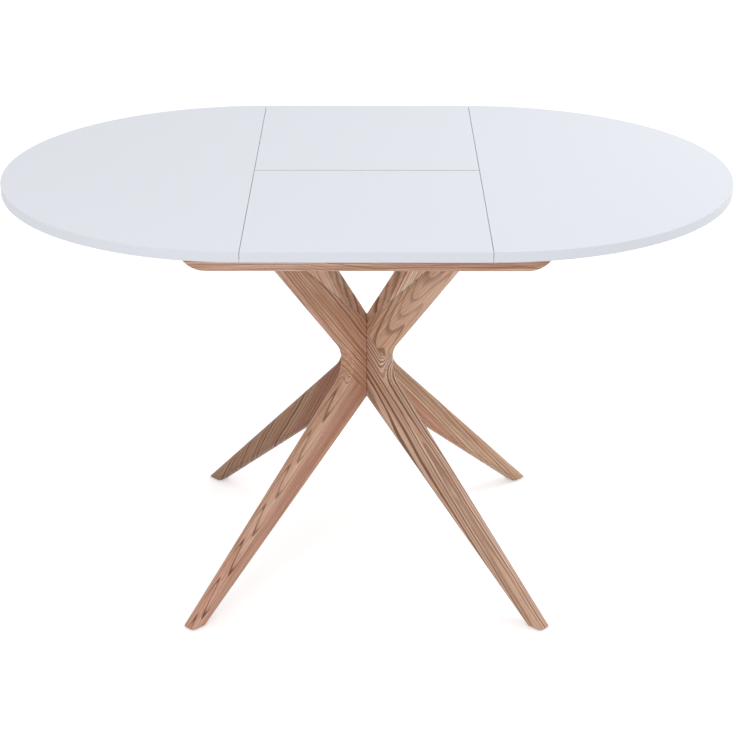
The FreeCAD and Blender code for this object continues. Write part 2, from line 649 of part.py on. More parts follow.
def bearer_screws(side):
    """Screws up through the bearer into the panel, clear of the blocks."""
    x = side * (BLOCK_NEAR + BEARER_WIDTH / 2)
    places = [-BEARER_SCREW_FAR, -BEARER_SCREW_NEAR, BEARER_SCREW_NEAR, BEARER_SCREW_FAR]
    return [screw(x, y, BEARER_BOTTOM, BEARER_THICKNESS + SCREW_BITE) for y in places]


def block_screw(side, y_sign):
    """Long screw through a runner and its block into the bearer."""
    upper = runner_is_upper(side, y_sign)
    head = GEAR_Z + ROOT_OFFSET if upper else GEAR_Z - RUNNER_OFFSET
    y = y_sign * (RUNNER_INNER_Y + RUNNER_OUTER_Y) / 2
    x = side * (BLOCK_NEAR + BLOCK_FAR) / 2
    return screw(x, y, head, BEARER_BOTTOM - head + BLOCK_SCREW_BITE)


def ledge(side):
    """Steel strap under a half top that reaches under the front half of the leaf."""
    return box((side * (TOP_INNER_X - LEDGE_REACH), side * (TOP_INNER_X + LEDGE_WIDTH)),
               (-LEDGE_PLACE - LEDGE_LENGTH / 2, -LEDGE_PLACE + LEDGE_LENGTH / 2),
               (UNDERSIDE - LEDGE_THICKNESS, UNDERSIDE))


def ledge_screws(side):
    x = side * (TOP_INNER_X + LEDGE_SCREW_OUT)
    places = (-LEDGE_PLACE - LEDGE_SCREW_SPACING / 2, -LEDGE_PLACE + LEDGE_SCREW_SPACING / 2)
    return [screw(x, y, UNDERSIDE - LEDGE_THICKNESS, LEDGE_THICKNESS + SCREW_BITE) for y in places]


def half_top(side):
    """Half-round panel with its straight edge at the seam."""
    disc = Part.makeCylinder(RADIUS, TOP_THICKNESS, vec(SEAM_X, 0, UNDERSIDE))
    keep = box((TOP_INNER_X, SEAM_X + RADIUS + 1), (-RADIUS - 1, RADIUS + 1),
               (UNDERSIDE - 1, TABLE_HEIGHT + 1))
    panel = rounded(disc.common(keep), EDGE_ARRIS, lambda e: e.Length > 2 * TOP_THICKNESS)
    return panel if side > 0 else mirrored_x(panel)


def make_half_top(name, side):
    bearer = box((side * BLOCK_NEAR, side * (BLOCK_NEAR + BEARER_WIDTH)),
                 (-BEARER_HALF_LENGTH, BEARER_HALF_LENGTH), (BEARER_BOTTOM, UNDERSIDE))
    bearer = rounded(bearer, BEARER_ARRIS, lambda e: e.CenterOfMass.z < BEARER_BOTTOM + 0.01)
    up_screws = bearer_screws(side)
    block_screws = [block_screw(side, y_sign) for y_sign in (-1, 1)]
    strap_screws = ledge_screws(side)
    save(name + "_half_top", with_holes(half_top(side), up_screws + strap_screws))
    save(name + "_bearer", with_holes(bearer, up_screws + block_screws))
    blocks = [runner_block(side, y_sign) for y_sign in (-1, 1)]
    save(name + "_runner_blocks", [with_holes(block, block_screws) for block in blocks])
    for place, y_sign in (("front", -1), ("rear", 1)):
        bar = runner(side, runner_is_upper(side, y_sign), y_sign)
        save(name + "_" + place + "_runner", with_holes(bar, block_screws))
    save(name + "_leaf_ledge", with_holes(ledge(side), strap_screws))
    save(name + "_top_screws", up_screws + block_screws + strap_screws)


def make_slides():
    for name, side in (("left", -1), ("right", 1)):
        make_half_top(name, side)
    for name, sign in (("front", -1), ("rear", 1)):
        save(name + "_pinion", pinion(sign))


# ---------------------------------------------------------------- leaf lift
def upper_pin_places():
    """Upper pins of the rear arms, then of the front arms."""
    rear = ARM_CENTRE + ARM_SPACING / 2
    return rear, rear - ARM_SPACING


def lift_arm(sign, upper_y, inner_x, bar_share):
    """Flat steel arm with round ends and three holes."""
    lower_y = upper_y + ARM_RUN
    x0 = sign * inner_x
    x1 = sign * (inner_x + ARM_BAR_THICKNESS)
    low = vec(0, lower_y, LOWER_PIN_Z)
    high = vec(0, upper_y, UPPER_PIN_Z)
    along = high - low
    along.normalize()
    side = vec(0, -along.z, along.y) * (ARM_BAR_WIDTH / 2)
    corners = [low + side, high + side, high - side, low - side]
    bar = prism([(x0, p.y, p.z) for p in corners], (x1 - x0, 0, 0))
    ends = [rod((x0, p.y, p.z), (x1, p.y, p.z), ARM_BAR_WIDTH / 2) for p in (low, high)]
    arm = joined([bar] + ends)
    bores = [rod((x0 - sign, p.y, p.z), (x1 + sign, p.y, p.z), LIFT_PIN_RADIUS + RUNNING_CLEARANCE)
             for p in (low, high)]
    middle = low + (high - low) * bar_share
    bores.append(rod((x0 - sign, middle.y, middle.z), (x1 + sign, middle.y, middle.z), CROSS_BAR_RADIUS))
    return with_holes(arm, bores)


def arm_cross_bar(upper_y, inner_x, bar_share):
    """Round bar that ties the left and right arms of a pair."""
    y = upper_y + ARM_RUN * (1 - bar_share)
    z = LOWER_PIN_Z + (UPPER_PIN_Z - LOWER_PIN_Z) * bar_share
    reach = inner_x + ARM_BAR_THICKNESS
    return rod((-reach, y, z), (reach, y, z), CROSS_BAR_RADIUS)


def carrier(sign):
    """Steel strap under both halves of the leaf with an ear for the upper pins."""
    x_inner = sign * (EAR_X - CARRIER_WIDTH + EAR_THICKNESS)
    x_outer = sign * (EAR_X + EAR_THICKNESS)
    strap = box((x_inner, x_outer), (CARRIER_FRONT, CARRIER_REAR), (LIFT_TOP_Z, UNDERSIDE))
    rear, front = upper_pin_places()
    ear_x = (sign * EAR_X, sign * (EAR_X + EAR_THICKNESS))
    ear = box(ear_x, (front - EAR_RADIUS, rear + EAR_RADIUS), (UPPER_PIN_Z - EAR_RADIUS, UNDERSIDE))
    shape = joined([strap, ear])
    holes = [rod((sign * (EAR_X - 1), y, UPPER_PIN_Z), (sign * (EAR_X + EAR_THICKNESS + 1), y, UPPER_PIN_Z),
                 LIFT_PIN_RADIUS) for y in (rear, front)]
    return with_holes(shape, holes + carrier_screws(sign))


def carrier_screws(sign):
    """Screws sunk flush in a carrier, up into the front half of the leaf."""
    x = sign * (EAR_X - CARRIER_WIDTH / 2 + EAR_THICKNESS / 2)
    places = [CARRIER_FRONT + CARRIER_SCREW_MARGIN, CARRIER_FRONT / 2, -CARRIER_SCREW_MARGIN]
    head = LIFT_TOP_Z + SCREW_HEAD_HEIGHT
    return [screw(x, y, head, CARRIER_THICKNESS - SCREW_HEAD_HEIGHT + SCREW_BITE) for y in places]


def upper_pin(sign, y, outer_x):
    """Pin fixed in the carrier's ear, reaching out through an arm."""
    return rod((sign * EAR_X, y, UPPER_PIN_Z), (sign * outer_x, y, UPPER_PIN_Z), LIFT_PIN_RADIUS)


def make_lift():
    rear, front = upper_pin_places()
    pairs = (("rear", rear, OUTER_ARM_X, REAR_BAR_SHARE), ("front", front, INNER_ARM_X, FRONT_BAR_SHARE))
    for name, y, inner_x, share in pairs:
        save("lift_" + name + "_arms", [lift_arm(sign, y, inner_x, share) for sign in (-1, 1)])
        save("lift_" + name + "_cross_bar", arm_cross_bar(y, inner_x, share))
    pins = []
    for sign in (-1, 1):
        pins.append(upper_pin(sign, rear, OUTER_ARM_X + ARM_BAR_THICKNESS))
        pins.append(upper_pin(sign, front, INNER_ARM_X + ARM_BAR_THICKNESS))
    save("lift_upper_pins", pins)
    save("left_leaf_carrier", carrier(-1))
    save("right_leaf_carrier", carrier(1))
    save("carrier_screws", carrier_screws(-1) + carrier_screws(1))


# ---------------------------------------------------------------- leaf
def hinge_places():
    return -HINGE_SPACING, 0.0, HINGE_SPACING


def hinge_barrel(x, y_sign):
    """Barrel let into the edge of a half leaf."""
    edge = y_sign * LEAF_JOINT_GAP / 2
    z = TABLE_HEIGHT - HINGE_DEPTH
    return rod((x, edge, z), (x, edge + y_sign * HINGE_BARREL_LENGTH, z), HINGE_BARREL_RADIUS)


def ring_sector(x, half_width, inner, outer, y_sign):
    """Quarter ring about the fold line, below the leaf's face, on one side of it."""
    axis_start = (x - half_width, 0, TABLE_HEIGHT)
    axis_end = (x + half_width, 0, TABLE_HEIGHT)
    ring = rod(axis_start, axis_end, outer)
    if inner > 0:
        ring = ring.cut(rod(axis_start, axis_end, inner))
    quarter = box((x - half_width - 1, x + half_width + 1), (0, y_sign * (outer + 1)),
                  (TABLE_HEIGHT - outer - 1, TABLE_HEIGHT))
    return ring.common(quarter)


def hinge_pocket(x):
    """Room in the front half for the tongue, open at the edge."""
    width = TONGUE_THICKNESS / 2 + TONGUE_CLEARANCE
    pocket = ring_sector(x, width, TONGUE_INNER - TONGUE_CLEARANCE, TONGUE_OUTER + TONGUE_CLEARANCE, -1)
    roof = box((x - width - 1, x + width + 1), (0, -TONGUE_OUTER * 2),
               (TABLE_HEIGHT - POCKET_ROOF, TABLE_HEIGHT + 1))
    return pocket.cut(roof)


def hinge_tongue(x):
    """Tongue of the rear barrel, which lies in the front barrel when the leaf is flat."""
    front = ring_sector(x, TONGUE_THICKNESS / 2, TONGUE_INNER, TONGUE_OUTER, -1)
    roof = box((x - TONGUE_THICKNESS, x + TONGUE_THICKNESS), (0, -TONGUE_OUTER * 2),
               (TABLE_HEIGHT - TONGUE_ROOF, TABLE_HEIGHT + 1))
    bridge = box((x - TONGUE_THICKNESS / 2, x + TONGUE_THICKNESS / 2), (0, HINGE_BARREL_LENGTH / 2),
                 (TABLE_HEIGHT - TONGUE_OUTER + BRIDGE_LIFT, TABLE_HEIGHT - TONGUE_INNER))
    return joined([front.cut(roof), bridge])


def leaf_panel(y_sign):
    near = y_sign * LEAF_JOINT_GAP / 2
    panel = box((-LEAF_HALF_X, LEAF_HALF_X), (near, y_sign * RADIUS), (UNDERSIDE, TABLE_HEIGHT))
    panel = rounded(panel, LEAF_JOINT_ARRIS, lambda e: is_fold_edge(e, near))
    return rounded(panel, EDGE_ARRIS, lambda e: e.Length > 2 * TOP_THICKNESS and is_outer_edge(e))


def is_fold_edge(edge, near):
    """True for the two long edges at the fold line."""
    return edge.Length > 2 * TOP_THICKNESS and abs(edge.CenterOfMass.y - near) < 0.01


def is_outer_edge(edge):
    """True for the long edges along the ends and the outer side of a half leaf."""
    middle = edge.CenterOfMass
    return abs(abs(middle.x) - LEAF_HALF_X) < 0.01 or abs(abs(middle.y) - RADIUS) < 0.01


def make_leaf():
    front_rooms = [hinge_barrel(x, -1) for x in hinge_places()]
    rear_rooms = [hinge_barrel(x, 1) for x in hinge_places()]
    pockets = [hinge_pocket(x) for x in hinge_places()]
    fixings = carrier_screws(-1) + carrier_screws(1)
    save("front_leaf", with_holes(leaf_panel(-1), front_rooms + pockets + fixings))
    save("rear_leaf", with_holes(leaf_panel(1), rear_rooms))
    save("front_hinge_barrels", [barrel.cut(pocket) for barrel, pocket in zip(front_rooms, pockets)])
    tongues = [hinge_tongue(x) for x in hinge_places()]
    save("rear_hinge_barrels", [joined([barrel, tongue]) for barrel, tongue in zip(rear_rooms, tongues)])


os.makedirs("parts", exist_ok=True)
make_legs()
make_frame()
make_slides()
make_lift()
make_leaf()
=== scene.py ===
"""Looks of the butterfly leaf table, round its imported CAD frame. Metres, +Z up."""
import json
import math

import bpy
from mathutils import Matrix, Vector


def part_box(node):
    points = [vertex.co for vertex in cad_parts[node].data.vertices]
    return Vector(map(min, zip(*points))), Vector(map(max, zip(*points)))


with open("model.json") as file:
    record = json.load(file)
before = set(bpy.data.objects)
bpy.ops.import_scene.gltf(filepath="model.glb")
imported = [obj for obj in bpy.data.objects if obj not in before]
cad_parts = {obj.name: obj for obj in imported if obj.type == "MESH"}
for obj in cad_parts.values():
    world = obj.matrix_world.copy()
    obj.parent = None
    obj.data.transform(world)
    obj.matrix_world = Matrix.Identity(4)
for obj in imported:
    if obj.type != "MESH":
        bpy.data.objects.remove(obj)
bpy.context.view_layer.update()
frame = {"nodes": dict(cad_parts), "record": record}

# ---------------------------------------------------------------- camera
PICTURE_SIDE = 736                     # pixels along each side of the photo's frame
CAMERA_PLACE = (0.0058, -3.410, 1.783)
CAMERA_PITCH = math.radians(22.4)      # looking down
CAMERA_YAW = math.radians(-0.06)
CAMERA_ROLL = math.radians(-0.03)
CAMERA_LENS = 96.4                     # mm
CAMERA_SENSOR = 36.0                   # mm
CAMERA_SHIFT_Y = -1.0 / PICTURE_SIDE   # one pixel


def make_camera():
    """Camera at the photo's viewing angle."""
    forward = Vector((math.sin(CAMERA_YAW) * math.cos(CAMERA_PITCH),
                      math.cos(CAMERA_YAW) * math.cos(CAMERA_PITCH), -math.sin(CAMERA_PITCH)))
    level = Vector((math.cos(CAMERA_YAW), -math.sin(CAMERA_YAW), 0))
    down = forward.cross(level)
    right = level * math.cos(CAMERA_ROLL) + down * math.sin(CAMERA_ROLL)
    up = level * math.sin(CAMERA_ROLL) - down * math.cos(CAMERA_ROLL)
    data = bpy.data.cameras.new("camera")
    data.lens = CAMERA_LENS
    data.sensor_width = CAMERA_SENSOR
    data.shift_y = CAMERA_SHIFT_Y
    camera = bpy.data.objects.new("camera", data)
    axes = Matrix((right, up, -forward)).transposed()
    camera.matrix_world = Matrix.Translation(CAMERA_PLACE) @ axes.to_4x4()
    bpy.context.scene.collection.objects.link(camera)
    bpy.context.scene.camera = camera


# ---------------------------------------------------------------- node helpers
MIX_A, MIX_B, MIX_RESULT = 6, 7, 2     # the colour sockets of Blender's Mix node
WHITE = (1.0, 1.0, 1.0, 1.0)


class Nodes:
    """Short way to build one material's node tree."""

    def __init__(self, name):
        self.material = bpy.data.materials.new(name)
        self.material.use_nodes = True
        self.tree = self.material.node_tree
        self.shader = self.tree.nodes["Principled BSDF"]

    def add(self, kind, inputs=(), **settings):
        """New node; an input is a value or the socket that feeds it."""
        node = self.tree.nodes.new(kind)
        for key, value in settings.items():
            setattr(node, key, value)
        for key, value in dict(inputs).items():
            if isinstance(value, bpy.types.NodeSocket):
                self.tree.links.new(value, node.inputs[key])
            else:
                node.inputs[key].default_value = value
        return node

    def math(self, operation, a, b=0.0, c=0.0):
        node = self.add("ShaderNodeMath", {0: a, 1: b, 2: c}, operation=operation)
        return node.outputs[0]

    def remap(self, value, low, high, to_low=0.0, to_high=1.0, smooth=True):
        node = self.add("ShaderNodeMapRange", {0: value, 1: low, 2: high, 3: to_low, 4: to_high},
                        interpolation_type="SMOOTHSTEP" if smooth else "LINEAR")
        return node.outputs[0]

    def noise(self, vector, scale, detail=2.0, roughness=0.5):
        node = self.add("ShaderNodeTexNoise", {"Vector": vector, "Scale": scale, "Detail": detail,
                                               "Roughness": roughness})
        return node.outputs["Fac"]

    def mix(self, share, a, b):
        node = self.add("ShaderNodeMix", {0: share, MIX_A: a, MIX_B: b}, data_type="RGBA")
        return node.outputs[MIX_RESULT]

    def bump(self, height, distance, strength=1.0):
        node = self.add("ShaderNodeBump", {"Height": height, "Distance": distance,
                                           "Strength": strength})
        self.tree.links.new(node.outputs[0], self.shader.inputs["Normal"])

    def set(self, **values):
        """Values or feeding sockets for the shader, with _ for each space in a socket's name."""
        for key, value in values.items():
            socket = self.shader.inputs[key.replace("_", " ")]
            if isinstance(value, bpy.types.NodeSocket):
                self.tree.links.new(value, socket)
            else:
                socket.default_value = value


def srgb(red, green, blue):
    """Linear colour of an 8-bit display colour."""
    linear = []
    for value in (red, green, blue):
        share = value / 255
        linear.append(share / 12.92 if share <= 0.04045 else ((share + 0.055) / 1.055) ** 2.4)
    return (*linear, 1.0)


def dress(material, *names):
    """Gives the named CAD nodes the material."""
    for name in names:
        mesh = frame["nodes"][name].data
        mesh.materials.clear()
        mesh.materials.append(material)


# ---------------------------------------------------------------- ash
# display colours of the wood, before a piece's lightness, which is partly painted light, and its
# warmth
GROUND_DEEP = (187, 145, 117)
GROUND_PALE = (207, 170, 146)
HEARTWOOD = (182, 132, 108)
STREAK_DARK = (150, 106, 80)
STREAK_PALE = (224, 190, 166)
FIBRE_DARK = (150, 108, 84)
EARLY_WOOD = (98, 55, 32)
PORE_DARK = (88, 53, 36)
GLUE_DARK = (70, 44, 32)

# sizes of the wood's patterns, along the fibre and across it
SLOW_BEND = (0.30, 0.070)
QUICK_BEND = (0.060, 0.030)
STREAK = (0.150, 0.0019)
FIBRE = (0.030, 0.0009)
PORE = (0.009, 0.0006)
BROAD_TONE = (0.35, 0.022)

RING_ONSET = 0.07                      # share of a ring in which the early wood sets in
PALEST_YEAR = 0.45                     # early wood of the palest year, 1 is the darkest
SPACING_PACE = 0.45                    # how soon the rings' spacing changes, per ring
HEART_EDGE = 0.0015                    # half width of the heartwood's soft edge
HEART_WARMTH = 1.0                     # how much redder the heartwood is
GLUE_FULL, GLUE_GONE = 0.0002, 0.0009  # how far off a mitre's plane the glue line is full, and gone
GLUE_SHARE = 0.65


def tone(colour, light, warmth=0.0, blue=0.0):
    """Linear colour of a display colour that is made lighter or darker by light, redder (+) or
    more olive (-) by warmth, and bluer (+) or yellower (-) by blue."""
    shifted = (colour[0] + 6 * warmth, colour[1] - 4 * warmth, colour[2] - 1 * warmth + 4 * blue)
    return srgb(*(max(0.0, min(255.0, value * light)) for value in shifted))


def ash(name, origin, grain, out, pith, tilt=(0.0, 0.0), ring=0.0050, oval=1.0, sway=0.004,
        light=1.0, warmth=0.0, blue=0.0, lines=0.85, streaks=0.5, early_full=0.14, early_end=0.44,
        uneven=1.6, heart=None, heart_share=0.75, mitred=False, seed=0.0):
    """Ash with growth rings round a pith line.

    grain is the fibre direction and out a direction square to it, both through origin.
    pith is the pith's distance along out and along the third axis, tilt its drift per metre,
    ring the mean width of a ring, oval how much steeper the rings run along the third axis and
    sway how far they bend. light, warmth and blue shift the colours as in tone; light is partly
    the piece's own tone and partly painted light, which lifts pieces that sit in the top's shade.
    lines and streaks are the strengths of the rings and of the streaks between them. In a ring
    the dark early wood is full up to early_full and has faded at early_end. uneven is how much
    the rings' widths differ, heart the radius within which the wood is redder, by heart_share. A
    mitred piece has thin dark glue lines on the hub's planes.
    """
    n = Nodes(name)
    along = Vector(grain).normalized()
    side = Vector(out)
    side = (side - along * side.dot(along)).normalized()
    third = along.cross(side)
    turn = Matrix((along, side, third)).transposed().to_euler()
    place = n.add("ShaderNodeTexCoord").outputs["Object"]
    local = n.add("ShaderNodeMapping", {"Vector": place, "Location": origin, "Rotation": turn},
                  vector_type="TEXTURE").outputs[0]
    a, b, c = n.add("ShaderNodeSeparateXYZ", {0: local}).outputs

    def stretched(length, width):
        """Place measured in lengths of the given size along the fibre and across it."""
        return n.add("ShaderNodeCombineXYZ", {
            0: n.math("MULTIPLY_ADD", a, 1 / length, seed),
            1: n.math("MULTIPLY_ADD", b, 1 / width, seed * 0.7),
            2: n.math("MULTIPLY", c, 1 / width)}).outputs[0]

    # distance from the pith line, bent by sway
    slow = n.noise(stretched(*SLOW_BEND), 1.0, 1.5, 0.5)
    quick = n.noise(stretched(*QUICK_BEND), 1.0, 1.0, 0.5)
    shift = n.math("MULTIPLY_ADD", slow, 5 * sway, -2.5 * sway)
    shift = n.math("ADD", shift, n.math("MULTIPLY_ADD", quick, 0.7 * sway, -0.35 * sway))
    b_off = n.math("SUBTRACT", n.math("MULTIPLY_ADD", a, tilt[0], b), pith[0])
    c_off = n.math("SUBTRACT", n.math("MULTIPLY_ADD", a, tilt[1], c), pith[1])
    c_off = n.math("MULTIPLY", c_off, oval)
    squares = n.math("ADD", n.math("MULTIPLY", b_off, b_off), n.math("MULTIPLY", c_off, c_off))
    radius = n.math("ADD", n.math("SQRT", squares), shift)

    # the rings: a count of years from the pith, and the place within each year
    pace = n.math("MULTIPLY_ADD", radius, SPACING_PACE / ring, seed)
    spacing = n.add("ShaderNodeTexNoise", {"W": pace, "Scale": 1.0, "Detail": 1.0},
                    noise_dimensions="1D").outputs["Fac"]
    count = n.math("ADD", n.math("DIVIDE", radius, ring), n.math("MULTIPLY", spacing, uneven))
    phase = n.math("FRACT", count)
    year = n.add("ShaderNodeTexWhiteNoise", {"W": n.math("ADD", n.math("FLOOR", count), seed)},
                 noise_dimensions="1D").outputs[0]

    # the porous early wood: a sharp dark start that fades into plain late wood
    start = n.remap(phase, 0.0, RING_ONSET)
    fade = n.remap(phase, early_full, early_end, 1.0, 0.0)
    early = n.math("MULTIPLY", n.math("MULTIPLY", start, fade),
                   n.remap(year, 0.0, 1.0, PALEST_YEAR, 1.0, smooth=False))
    streak = n.noise(stretched(*STREAK), 1.0, 2.0, 0.55)
    fibre = n.noise(stretched(*FIBRE), 1.0, 2.0, 0.6)
    pores = n.remap(n.noise(stretched(*PORE), 1.0, 1.0, 0.5), 0.52, 0.68)
    broad = n.noise(stretched(*BROAD_TONE), 1.0, 2.0, 0.5)

    def shade(colour, redder=0.0):
        """Colour in this piece's lightness, partly painted light, and its warmth."""
        return tone(colour, light, warmth + redder, blue)

    ground = n.mix(n.remap(broad, 0.35, 0.65), shade(GROUND_DEEP), shade(GROUND_PALE))
    if heart:
        inside = n.remap(radius, heart - HEART_EDGE, heart + HEART_EDGE, 1.0, 0.0)
        ground = n.mix(n.math("MULTIPLY", inside, heart_share), ground,
                       shade(HEARTWOOD, HEART_WARMTH))
    ground = n.mix(n.remap(streak, 0.48, 0.66, 0.0, streaks), ground, shade(STREAK_DARK))
    ground = n.mix(n.remap(streak, 0.50, 0.36, 0.0, streaks * 0.8), ground, shade(STREAK_PALE))
    ground = n.mix(n.remap(fibre, 0.45, 0.72, 0.0, 0.35), ground, shade(FIBRE_DARK))
    ringed = n.mix(n.math("MULTIPLY", early, lines), ground, shade(EARLY_WOOD))
    open_pores = n.math("MULTIPLY", pores, n.math("MULTIPLY_ADD", early, 0.50, 0.12))
    full = n.mix(open_pores, ringed, shade(PORE_DARK))
    if mitred:
        x, y, _ = n.add("ShaderNodeSeparateXYZ", {0: place}).outputs
        joint = n.math("MINIMUM", n.math("ABSOLUTE", x), n.math("ABSOLUTE", y))
        full = n.mix(n.remap(joint, GLUE_FULL, GLUE_GONE, GLUE_SHARE, 0.0), full, srgb(*GLUE_DARK))
    n.set(Base_Color=full, Roughness=n.remap(fibre, 0.3, 0.7, 0.42, 0.54), Specular_IOR_Level=0.35)
    height = n.math("SUBTRACT", n.math("MULTIPLY", fibre, 0.3),
                    n.math("MULTIPLY", pores, n.math("MULTIPLY_ADD", early, 0.8, 0.15)))
    n.bump(height, 0.0002, 0.5)
    return n.material


# a point of the hub and fibre directions, in a leg's own plane: x away from the hub, z up
HUB = (0.02, 0, 0.39)
LEG_MIDDLE = (0.753, 0, -0.658)        # down the middle of a lower leg
LEG_EDGE = (0.724, 0, -0.690)          # along a lower leg's upper edge
LEG_PAST_EDGE = (0.700, 0, -0.714)     # a little steeper than that edge
LEG_STEEP = (0.54, 0, -0.842)          # steeper still, so the fibre runs out of the underside
ARM_MIDDLE = (0.634, 0, 0.773)         # up the middle of an upper arm
ARM_EDGE = (0.640, 0, 0.768)           # along an upper arm's edge
AZIMUTHS = {"front_left": 225, "front_right": 315, "rear_left": 135, "rear_right": 45}

# how each piece was cut from its plank; the third axis points away from the viewer's side on the
# front left lower leg, the rear left one and the front right and rear right arms
# light is partly each piece's own tone and partly painted light: the rear arms, in the top's shade,
# are painted much lighter
LEG_WOOD = {
    "front_left_lower_leg": (LEG_MIDDLE, dict(
        pith=(-0.100, -0.003), ring=0.0034, oval=3.2, sway=0.0005, light=1.06, warmth=0.3,
        lines=0.95, streaks=0.45, early_end=0.27, uneven=0.5, heart=0.103, heart_share=0.4,
        seed=8.2)),
    "front_left_upper_arm": (ARM_MIDDLE, dict(
        pith=(0.120, -0.03), ring=0.0060, sway=0.004, light=1.06, warmth=0.5, blue=-0.8,
        lines=0.8, seed=8.4)),
    "front_right_lower_leg": (LEG_EDGE, dict(
        pith=(-0.040, -0.050), tilt=(0.015, 0.0), ring=0.0044, sway=0.0030, light=1.13,
        warmth=-0.5, blue=1.2, lines=0.9, early_full=0.36, early_end=0.56, uneven=0.5,
        seed=31.3)),
    "front_right_upper_arm": (ARM_MIDDLE, dict(
        pith=(-0.012, 0.034), tilt=(0.02, 0.10), ring=0.0055, sway=0.0016, light=1.12,
        lines=0.6, seed=1.2)),
    "rear_left_lower_leg": (LEG_STEEP, dict(
        pith=(-0.040, 0.045), tilt=(0.04, 0.05), ring=0.0046, sway=0.005, light=0.80,
        warmth=1.2, blue=-3.2, lines=1.0, streaks=0.4, early_end=0.50, heart=0.098, seed=11.3)),
    "rear_left_upper_arm": (ARM_EDGE, dict(
        pith=(0.10, 0.05), ring=0.0052, sway=0.002, light=1.29, warmth=0.3, blue=0.4,
        lines=0.75, early_end=0.52, seed=6.6)),
    "rear_right_lower_leg": (LEG_PAST_EDGE, dict(
        pith=(-0.070, 0.0), tilt=(0.0, 0.05), ring=0.0036, sway=0.002, light=1.06, blue=-1.2,
        lines=0.95, heart=0.0693, seed=15.9)),
    "rear_right_upper_arm": (ARM_EDGE, dict(
        pith=(0.10, -0.03), ring=0.0056, sway=0.002, light=1.42, warmth=0.8, blue=0.5,
        lines=0.9, early_end=0.60, seed=9.9)),
}

RAIL_FIBRE = (1, 0, 0)
RAIL_OUT = (0, 0, 1)
# painted light: light=1.13 lifts the rails, which sit in the top's shade
RAIL_WOOD = dict(pith=(0.045, 0.03), tilt=(0.010, 0.0), ring=0.0044, sway=0.008, light=1.13,
                 warmth=0.1, blue=0.8, lines=0.75, streaks=0.7)
RAIL_SEEDS = {"front_rail": 21.0, "rear_rail": 27.5}


def dress_legs():
    """Ash for the eight pieces of the legs, each turned to its own corner."""
    for node, (grain, look) in LEG_WOOD.items():
        corner = "_".join(node.split("_")[:2])
        spin = Matrix.Rotation(math.radians(AZIMUTHS[corner]), 3, "Z")
        out = (-grain[2], 0, grain[0]) if "leg" in node else (grain[2], 0, -grain[0])
        wood = ash(node + "_ash", spin @ Vector(HUB), spin @ Vector(grain), spin @ Vector(out),
                   mitred=True, **look)
        dress(wood, node)


def dress_rails():
    """Ash for the two rails, with the fibre along them."""
    for name, seed in RAIL_SEEDS.items():
        low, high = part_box(name)
        middle = (low + high) / 2
        dress(ash(name + "_ash", middle, RAIL_FIBRE, RAIL_OUT, seed=seed, **RAIL_WOOD), name)


# ---------------------------------------------------------------- other materials
LACQUER_DEEP = (226, 230.4, 237.3)
LACQUER_PALE = (229, 232.5, 239.3)
# painted shade: a near-black strip on the fold's walls, down to FOLD_LIP_DEPTH below the top,
# stands in for the shadow in the leaf's gap
FOLD_PAINTED_SHADE = (24, 22, 21)
FOLD_LIP_DEPTH = 0.003
WALL_FULL, WALL_GONE = 0.00003, 0.00018  # how far off the fold's wall the dark is full, and gone


def lacquer():
    """White lacquer, with a thin line of painted shade along the lips of the leaf's fold, standing
    in for the shadow in the gap between the leaf's halves.
    """
    n = Nodes("white_lacquer")
    place = n.add("ShaderNodeTexCoord").outputs["Object"]
    cloud = n.noise(place, 3.0, 2.0)
    peel = n.noise(place, 260.0, 1.0)
    colour = n.mix(cloud, srgb(*LACQUER_DEEP), srgb(*LACQUER_PALE))
    x, y, z = n.add("ShaderNodeSeparateXYZ", {0: place}).outputs
    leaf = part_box("front_leaf")[1]
    # painted shade along the fold's walls and lips, standing in for the shadow in the gap
    wall = n.remap(n.math("ABSOLUTE", y), -leaf.y + WALL_FULL, -leaf.y + WALL_GONE, 1.0, 0.0)
    within_leaf = n.math("LESS_THAN", n.math("ABSOLUTE", x), leaf.x)
    fold_shade = n.math("GREATER_THAN", z, leaf.z - FOLD_LIP_DEPTH)
    fold_shade = n.math("MULTIPLY", n.math("MULTIPLY", wall, within_leaf), fold_shade)
    colour = n.mix(fold_shade, colour, srgb(*FOLD_PAINTED_SHADE))
    n.set(Base_Color=colour, Roughness=n.remap(cloud, 0.3, 0.7, 0.42, 0.48), Specular_IOR_Level=0.2)
    n.bump(peel, 0.00003, 0.3)
    return n.material


# noise cells per metre along x, y and z
BEECH_FIBRE = (180.0, 14.0, 180.0)
BRUSHED_ALONG_X = (40.0, 600.0, 600.0)
BRUSHED_ALONG_Y = (300.0, 60.0, 300.0)
BRUSHED_ALONG_Z = (300.0, 300.0, 60.0)

METAL_BLOTCH = 0.86                    # darkest tone of a surface against its plain colour
PLASTIC_BLOTCH = 0.93


def plain_wood(name, base, line):
    """Bare beech: base colour with darker fibre lines along y."""
    n = Nodes(name)
    place = n.add("ShaderNodeTexCoord").outputs["Object"]
    stretched = n.add("ShaderNodeMapping", {"Vector": place, "Scale": BEECH_FIBRE}).outputs[0]
    fibre = n.noise(stretched, 1.0, 3.0, 0.6)
    n.set(Base_Color=n.mix(n.remap(fibre, 0.3, 0.75), srgb(*base), srgb(*line)), Roughness=0.62)
    n.bump(fibre, 0.0001, 0.4)
    return n.material


def metal(name, colour, roughness, brushed=BRUSHED_ALONG_X):
    """Metal with faint blotches and fine brushing."""
    n = Nodes(name)
    place = n.add("ShaderNodeTexCoord").outputs["Object"]
    stretched = n.add("ShaderNodeMapping", {"Vector": place, "Scale": brushed}).outputs[0]
    streak = n.noise(stretched, 1.0, 2.0)
    blotch = n.noise(place, 60.0, 2.0)
    darker = srgb(*(v * METAL_BLOTCH for v in colour))
    n.set(Base_Color=n.mix(n.remap(blotch, 0.35, 0.7), srgb(*colour), darker), Metallic=1.0,
          Roughness=n.remap(streak, 0.3, 0.7, roughness - 0.06, roughness + 0.08))
    n.bump(streak, 0.00003, 0.4)
    return n.material


